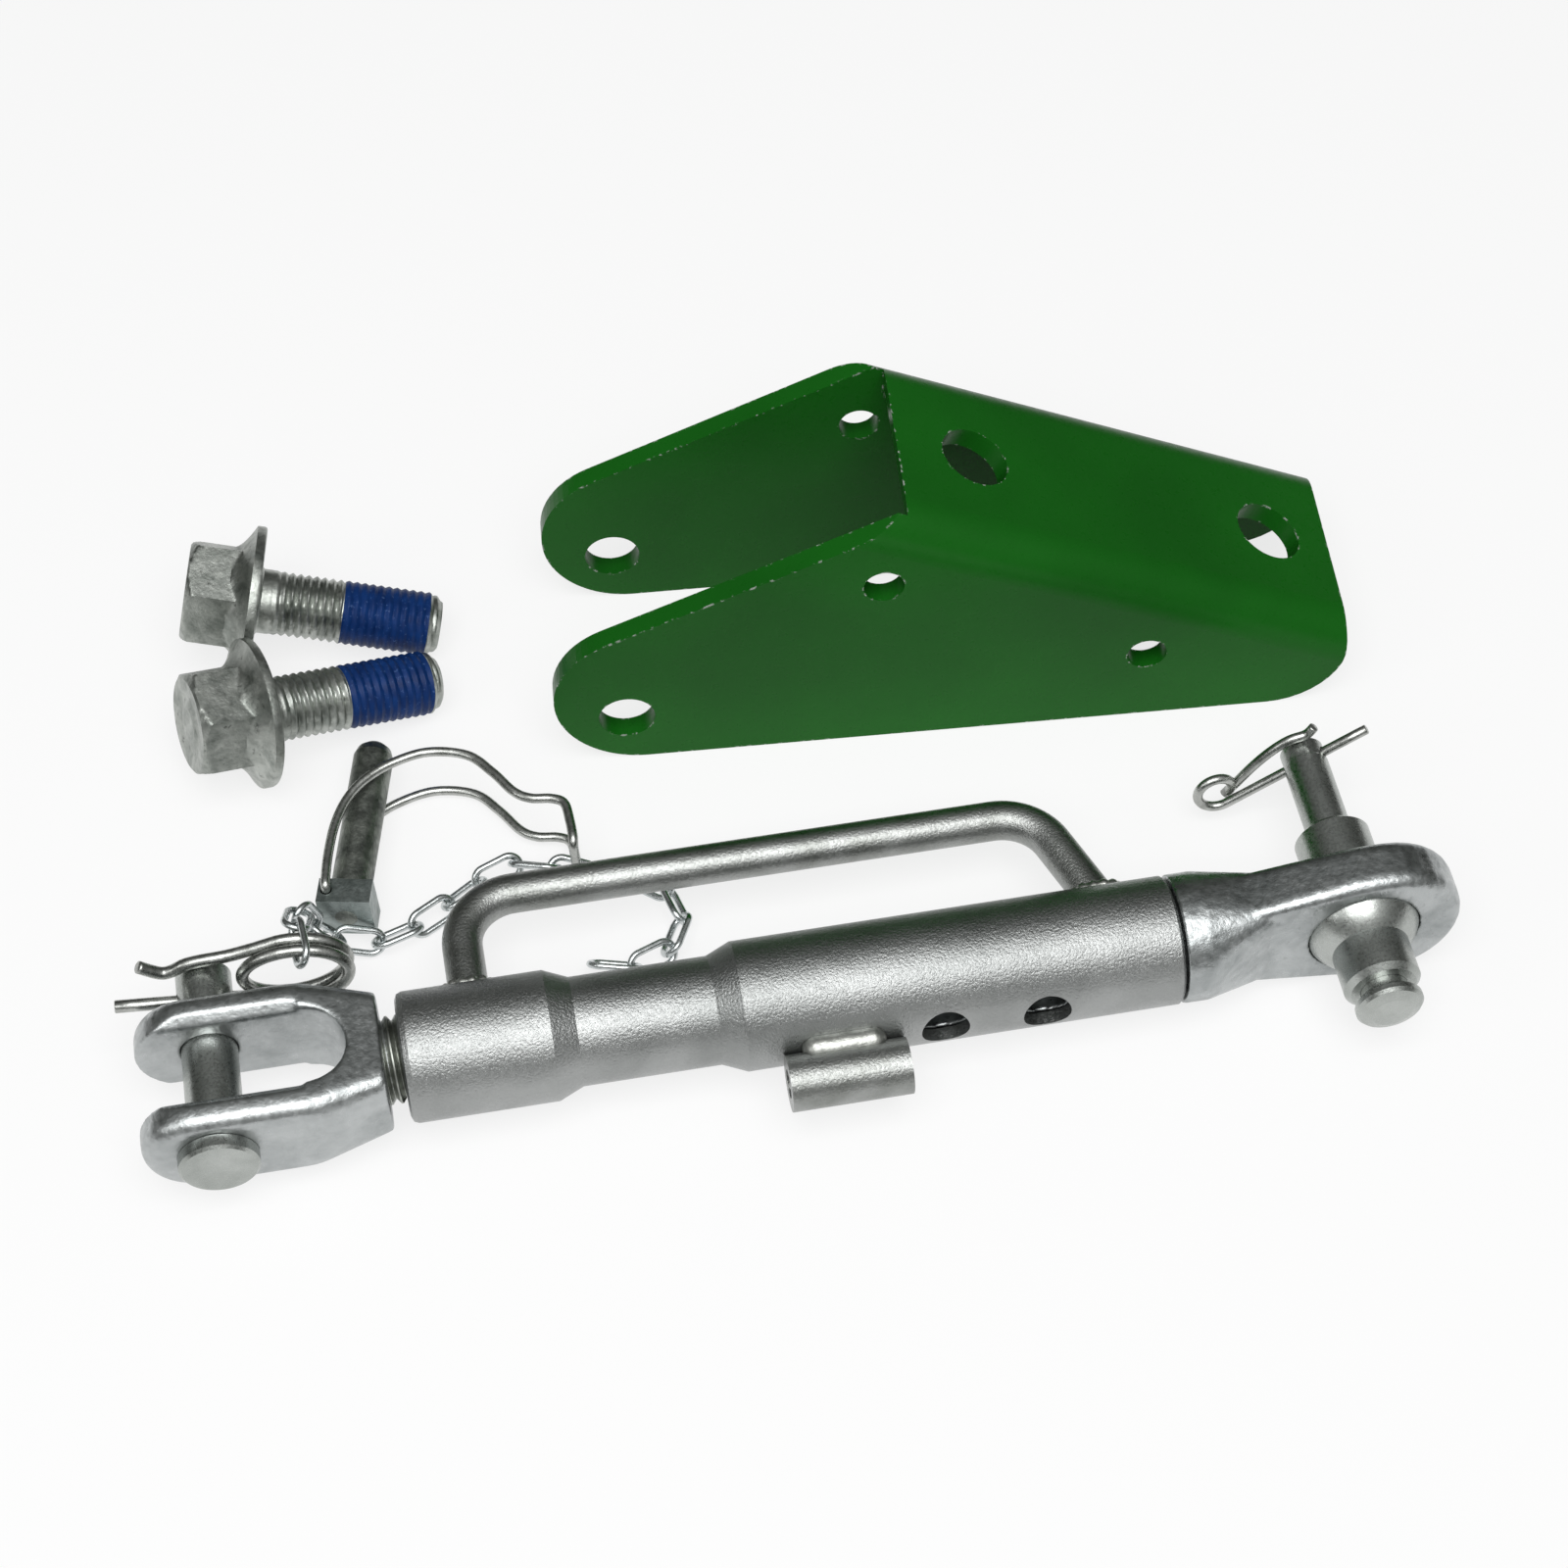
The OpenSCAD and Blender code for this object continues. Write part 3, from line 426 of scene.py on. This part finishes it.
def smooth_path(points, steps):
    """A Catmull-Rom curve through the points."""
    out = []
    pts = [Vector(p) for p in points]
    for i in range(len(pts) - 1):
        a, b = pts[max(i - 1, 0)], pts[i]
        c, d = pts[i + 1], pts[min(i + 2, len(pts) - 1)]
        for k in range(steps):
            u = k / steps
            square = (2 * a - 5 * b + 4 * c - d) * u * u
            cube = (3 * b - 3 * c + d - a) * u ** 3
            out.append(0.5 * (2 * b + (c - a) * u + square + cube))
    out.append(pts[-1])
    return out


def oval(centre, r, h, a0, a1, y0, y1, steps):
    """Turns about Y round centre (x, z), r wide and h high, from angle a0 to a1."""
    out = []
    for i in range(steps + 1):
        a = math.radians(a0 + (a1 - a0) * i / steps)
        y = y0 + (y1 - y0) * i / steps
        out.append(Vector((centre[0] + r * math.cos(a), y, centre[1] + h * math.sin(a))))
    return out


def moved(points, m):
    return [m @ Vector(p) for p in points]


def turn(axis, degrees):
    return Matrix.Rotation(math.radians(degrees), 4, axis)


def at(x, y, z):
    return Matrix.Translation((x, y, z))


def wire_piece(name, path, diameter, start, body):
    verts, faces = tube_mesh(path, diameter / 2, start)
    return add_piece(name, verts, faces, body, ["wire"])


# Clip of the fork pin: a tilted straight leg, a double coil and a bent leg over the pin

CLIP_D, CLIP_Y, CLIP_STEP = 4.5, 36.0, 4.8
CLIP_TILT = math.radians(7)
CLIP_START, CLIP_END = -90, 465
CLIP_CENTRE, CLIP_R, CLIP_H = (31.5, 4), 18, 13
clip_y1 = CLIP_Y + CLIP_STEP * (CLIP_END - CLIP_START) / 360


def leg_point(x):
    return (x * math.cos(CLIP_TILT), CLIP_Y, -x * math.sin(CLIP_TILT))


clip_leg = [leg_point(x) for x in (-30, -22, -15, -7, 0, 4, 8)]
clip_bend = smooth_path([leg_point(11), (17.5, CLIP_Y, -3.4), (25, CLIP_Y, -8)], 6)
clip_coil = oval(CLIP_CENTRE, CLIP_R, CLIP_H, CLIP_START, CLIP_END, CLIP_Y, clip_y1, 110)
clip_over = smooth_path([(x, clip_y1, z) for x, z in (
    (20, 14.8), (10, 12.8), (0, 12.2), (-5, 11.25), (-9.5, 8.9), (-13.5, 8.8), (-20, 14))], 8)
clip_path = clip_leg + clip_bend + clip_coil + clip_over
piece = wire_piece("fork_clip_wire", clip_path, CLIP_D, (0, 1, 0), "tether")
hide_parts("fork_clip")

# Clip of the ball pin: a straight leg through the pin, one loop and a bent leg over it

BALL_X, BALL_PIN_D = 393.5, 16.3
HAIR_Y, HAIR_D, HAIR_TURN = 66.5, 3.6, 33
LOOP_X, LOOP_R = -33, 6.5
over = BALL_PIN_D / 2 + HAIR_D / 2 + 0.3
hair_y1 = HAIR_Y + HAIR_D + 0.3
hair_leg = [(x, HAIR_Y, 0) for x in (25, 17, 10, 0, -10, -20)]
hair_loop = oval((LOOP_X, LOOP_R), LOOP_R, LOOP_R, 270, -80, HAIR_Y, hair_y1, 40)
hair_over = smooth_path([(x, hair_y1, z) for x, z in (
    (-26, 0.6 + LOOP_R * 0.3), (-16, 7), (-7, over - 0.6), (0, over), (6, over - 1.6),
    (10, over))], 6)
hair_place = at(BALL_X, 0, 0) @ turn("Y", -HAIR_TURN)
hair_path = moved(hair_leg + hair_loop + hair_over, hair_place)
piece = wire_piece("ball_clip_wire", hair_path, HAIR_D, (0, 1, 0), "ball_clip")
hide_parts("ball_pin_clip")

# Bow of the lock pin: two equal arms, joined at the tip, with their ends in the head block

BOW_Z, BOW_D, BOW_X = 11.4, 3.5, -6.4
LOCK_ROLL, LOCK_YAW = 2, -13.5
LOCK_X, LOCK_Y = 51, 76
BOW_ARM = ((BOW_X - 0.4, 2.5), (-7.4, 14), (-6.9, 27), (-4.2, 38.5), (1, 47.5), (9.5, 55),
    (22, 60.5), (36.5, 59.5), (46.5, 52), (55, 43.5), (61.5, 40.6), (69, 40.6),
    (73.8, 38.5), (76.5, 31), (78.2, 24.5))
# Both bends as steps (along x, along y, height), from the wire's end to the arm
BOW_FOOT = ((0, 0, BOW_Z - 8), (0, 0, BOW_Z - 5), (0, 0, BOW_Z - 3), (0, 0.12, BOW_Z - 1.7),
    (0, 0.5, BOW_Z - 0.7), (-0.1, 1.2, BOW_Z - 0.15))
BOW_TIP = ((0.25, -1.4, BOW_Z - 0.3), (0.3, -2.4, BOW_Z - 1.1), (0.3, -3, BOW_Z - 2.4),
    (0.3, -3, BOW_Z - 4), (0.3, -3, 4))


def bow():
    arm = smooth_path([(x, y, 0) for x, y in BOW_ARM], 8)
    tip_x, tip_y = BOW_ARM[-1]
    foot = [Vector((BOW_X + x, y, z)) for x, y, z in BOW_FOOT]
    tip = [Vector((tip_x + x, tip_y + y, z)) for x, y, z in BOW_TIP]
    upper = foot + [Vector((p.x, p.y, BOW_Z)) for p in arm] + tip
    middle = [Vector((tip_x + 0.3, tip_y - 3, 0))]
    lower = [Vector((p.x, p.y, -p.z)) for p in upper[::-1]]
    roll = math.radians(LOCK_ROLL)
    lift = BOW_Z * math.cos(roll) + BOW_D / 2 + 10 * math.sin(roll)
    place = at(LOCK_X, LOCK_Y, FLOOR_MM + lift) @ turn("Z", LOCK_YAW) @ turn("Y", -LOCK_ROLL)
    return moved(upper + middle + lower, place)


piece = wire_piece("bow_wire", bow(), BOW_D, (1, 0, 0), "tether")
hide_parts("lock_pin_bow")

# Forgings: the CAD solid with its facets and sharp rims worn soft


def forging(node, name, body, mat, voxel, rounds):
    ob = bpy.data.objects.new(name, nodes[node].data.copy())
    bpy.context.scene.collection.objects.link(ob)
    mod = ob.modifiers.new("voxels", "REMESH")
    mod.mode = "VOXEL"
    mod.voxel_size = voxel
    smooth = ob.modifiers.new("wear", "SMOOTH")
    smooth.factor = 0.5
    smooth.iterations = rounds
    depsgraph = bpy.context.evaluated_depsgraph_get()
    mesh = bpy.data.meshes.new_from_object(ob.evaluated_get(depsgraph))
    ob.modifiers.clear()
    old = ob.data
    ob.data = mesh
    bpy.data.meshes.remove(old)
    mesh.materials.clear()
    mesh.materials.append(mats[mat])
    mesh.polygons.foreach_set("use_smooth", [True] * len(mesh.polygons))
    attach(ob, body)
    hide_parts(node)


forge_voxel = 0.0008
fork_rounds, eye_rounds = ((7, 5))
forging("fork", "fork_forging", "clevis", "forged", forge_voxel, fork_rounds)
forging("eye_rod", "eye_forging", "ball_end", "eye", forge_voxel, eye_rounds)

# Bare thread beside the fork's shoulder: a helical ridge over the solid's root diameter

SCREW_PITCH, SCREW_SIDES, SCREW_STEPS = 3.5, 96, 60
SCREW_SKIN, SCREW_ROOT, SCREW_CREST = 13.12, 13.14, 14.9
SCREW_X0, SCREW_X1 = 57.6, 65.9


def fork_thread():
    sides = SCREW_SIDES
    angles = [2 * math.pi * k / sides for k in range(sides)]
    verts = []
    for i in range(SCREW_STEPS + 1):
        x = SCREW_X0 + (SCREW_X1 - SCREW_X0) * i / SCREW_STEPS
        for a in angles:
            u = ((x - SCREW_X0) / SCREW_PITCH - a / (2 * math.pi)) % 1.0
            ridge = 1 - abs(2 * u - 1)
            # Cut off flat at the crest and at the root
            height = min(1.0, max(0.0, ridge * 1.35 - 0.1))
            r = SCREW_ROOT + (SCREW_CREST - SCREW_ROOT) * height
            verts.append((x, r * math.cos(a), r * math.sin(a)))
    faces = [(a, d, c, b) for a, b, c, d in ring_faces(SCREW_STEPS + 1, sides)]
    inner = len(verts)
    for x in (SCREW_X0, SCREW_X1):
        for a in angles:
            verts.append((x, SCREW_SKIN * math.cos(a), SCREW_SKIN * math.sin(a)))
    far = SCREW_STEPS * sides
    for k in range(sides):
        k2 = (k + 1) % sides
        faces.append((k, k2, inner + k2, inner + k))
        faces.append((far + k2, far + k, inner + sides + k, inner + sides + k2))
    ob = add_piece("fork_thread", verts, faces, "clevis", ["thread"])


fork_thread()

# Flange bolts with cut threads, made as rings of points along the bolt's axis

FLATS, HEAD_H, SHANK_R, BOLT_LEN = 36.0, 27.0, 12.0, 68.0
HEAD_TOP_SHARE, CHAMFER_SLOPE = 0.95, 1.35
DISH_DEPTH, DISH_MIDDLE, DISH_HALF = 1.3, 0.58, 0.16
FLANGE_R, RIM_T, CONE_H = 27.5, 3.6, 5.4
SKIRT_STEP, SKIRT_CURVE, SKIRT_LAP = 0.6, 1.6, 2
BOLT_PITCH, THREAD_DEPTH, THREAD_START, THREAD_FADE = 3.0, 1.3, 4.0, 7.0
TIP_LEN, TIP_DROP, TIP_CURVE = 6, 3.2, 2.2
PATCH_START, PATCH_END, PATCH_DEPTH_SHARE = 31.0, 63.5, 0.62
BOLT_SIDES, BOLT_SPIN = 144, 15
COAT, PATCH = 0, 1
CONE_TOP = -RIM_T - CONE_H


def hex_r(a):
    b = (math.degrees(a) + 30) % 60 - 30
    return FLATS / 2 / math.cos(math.radians(b))


def skirt_r(z):
    """Radius of the cone that runs from the hexagon out to the flange's rim."""
    u = min(1.0, (z - CONE_TOP + SKIRT_LAP) / (CONE_H + SKIRT_LAP))
    return FLATS / 2 + SKIRT_STEP + (FLANGE_R - FLATS / 2 - SKIRT_STEP) * (u ** SKIRT_CURVE)


def plain_ring(z, r):
    return (z, lambda a: r, COAT)


def head_ring(z):
    def ring(a):
        r = min(hex_r(a), FLATS / 2 * HEAD_TOP_SHARE + (z + HEAD_H) * CHAMFER_SLOPE)
        return max(r, skirt_r(z)) if z > CONE_TOP - SKIRT_LAP else r
    return (z, ring, COAT)


def thread_ring(z):
    fade = min(1.0, max(0.0, (z - THREAD_START) / THREAD_FADE))
    tail = max(0.0, (z - (BOLT_LEN - TIP_LEN)) / TIP_LEN)
    blue = PATCH_START <= z <= PATCH_END
    depth = THREAD_DEPTH * fade * (PATCH_DEPTH_SHARE if blue else 1.0) * (1 - 0.6 * tail)
    crest = SHANK_R - TIP_DROP * tail ** TIP_CURVE

    def ring(a):
        u = (z / BOLT_PITCH - a / (2 * math.pi)) % 1.0
        ridge = 1 - abs(2 * u - 1)
        return crest - depth * (1 - ridge ** 0.8)
    return (z, ring, PATCH if blue else COAT)


def bolt_rings():
    rings = []
    # The top face with its shallow pressed ring, then the hexagon down into the skirt
    for k in range(9):
        share = 0.04 + 0.96 * k / 8
        dish = DISH_DEPTH * max(0.0, 1 - abs(share - DISH_MIDDLE) / DISH_HALF)
        rings.append(plain_ring(dish - HEAD_H, share * FLATS / 2 * HEAD_TOP_SHARE))
    for k in range(1, 27):
        rings.append(head_ring(-HEAD_H + (HEAD_H - RIM_T - CONE_H + 1.5) * k / 26))
    for k in range(1, 8):
        z = CONE_TOP + 1.5 + (CONE_H - 1.5) * (k / 7)
        rings.append(plain_ring(z, skirt_r(z)))
    # The flange's rim and seat, and the round under it
    for z, r in (
            (-RIM_T + 0.5, FLANGE_R), (-1.0, FLANGE_R), (-0.3, FLANGE_R - 0.3),
            (0.0, FLANGE_R - 1.0), (0.0, FLANGE_R - 4), (0.0, SHANK_R + 2),
            (0.3, SHANK_R + 0.6), (0.9, SHANK_R)):
        rings.append(plain_ring(z, r))
    # The thread, nine rings to a turn, and the tip
    z = 1.2
    while z < BOLT_LEN - 0.01:
        rings.append(thread_ring(z))
        z += BOLT_PITCH / 9
    for z, r in ((BOLT_LEN - 0.1, SHANK_R - 4.4), (BOLT_LEN, SHANK_R - 6.5), (BOLT_LEN, 0.5)):
        rings.append(plain_ring(z, r))
    return rings


def bolt(name, place, body, replaced):
    sides = BOLT_SIDES
    rings = bolt_rings()
    verts = []
    for z, ring, _ in rings:
        for k in range(sides):
            a = 2 * math.pi * k / sides
            r = ring(a)
            verts.append(Vector((r * math.cos(a), r * math.sin(a), z)))
    faces = ring_faces(len(rings), sides)
    face_mats = []
    for (_, _, mat0), (_, _, mat1) in zip(rings, rings[1:]):
        face_mats += [PATCH if mat0 and mat1 else COAT] * sides
    faces.append(tuple(range(sides))[::-1])
    faces.append(tuple((len(rings) - 1) * sides + k for k in range(sides)))
    face_mats += [COAT, COAT]
    ob = add_piece(name, moved(verts, place), faces, body, ["bolt", "patch"], face_mats)
    ob.data.set_sharp_from_angle(angle=math.radians(32))
    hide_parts(*replaced)


# A bolt lies on its flange's rim and on the end of its shank.
bolt_tilt = math.degrees(math.asin((FLANGE_R - SHANK_R) / BOLT_LEN))


def bolt_place(x, y, yaw):
    lying = at(x, y, FLOOR_MM) @ turn("Z", yaw) @ turn("Y", bolt_tilt) @ at(0, 0, FLANGE_R)
    return lying @ turn("Y", 90) @ turn("Z", BOLT_SPIN)


back_place = bolt_place(26, 213.5, yaw=-10)
bolt("bolt_back_thread", back_place, "bolt_back", ["bolt_back", "bolt_back_patch"])
front_place = bolt_place(22.5, 157, yaw=14)
bolt("bolt_front_thread", front_place, "bolt_front", ["bolt_front", "bolt_front_patch"])

# Rippled weld beads round the handle's feet

BARREL_R, FOOT_R = 22.4, 8.2
BEAD_R, RIPPLES, RIPPLE_SHARE, LUMP_SHARE = 2.1, 15, 0.16, 0.25
# Place along the barrel's axis and lean in degrees
FEET = ((88.5, 0), (314.5, 20))


def bead(path, seed):
    def radius(u):
        lump = noise.noise(Vector((u * RIPPLES, seed, 0)) + Vector((seed * 3.1, 0, 0)))
        ripple = math.sin(u * RIPPLES * 2 * math.pi)
        return BEAD_R * (1 + RIPPLE_SHARE * ripple + LUMP_SHARE * lump)

    return tube_mesh(path, radius, (0, 1, 0), 12)


def foot_path(x0, lean, count=96):
    """The line where a handle foot, leaning by so many degrees, meets the barrel."""
    out = []
    lean = math.radians(lean)
    for i in range(count + 1):
        a = 2 * math.pi * i / count
        u, w = FOOT_R * math.cos(a), FOOT_R * math.sin(a)
        y = math.sqrt(max(0.0, BARREL_R ** 2 - w * w))
        out.append(Vector((x0 - math.tan(lean) * y + u / math.cos(lean), y, w)))
    return out


verts, faces = [], []
for i, (x0, lean) in enumerate(FEET):
    v, f = bead(foot_path(x0, lean), i)
    faces += [tuple(k + len(verts) for k in poly) for poly in f]
    verts += v
piece = add_piece("foot_beads", verts, faces, "barrel", ["weld"])
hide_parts("handle_welds")
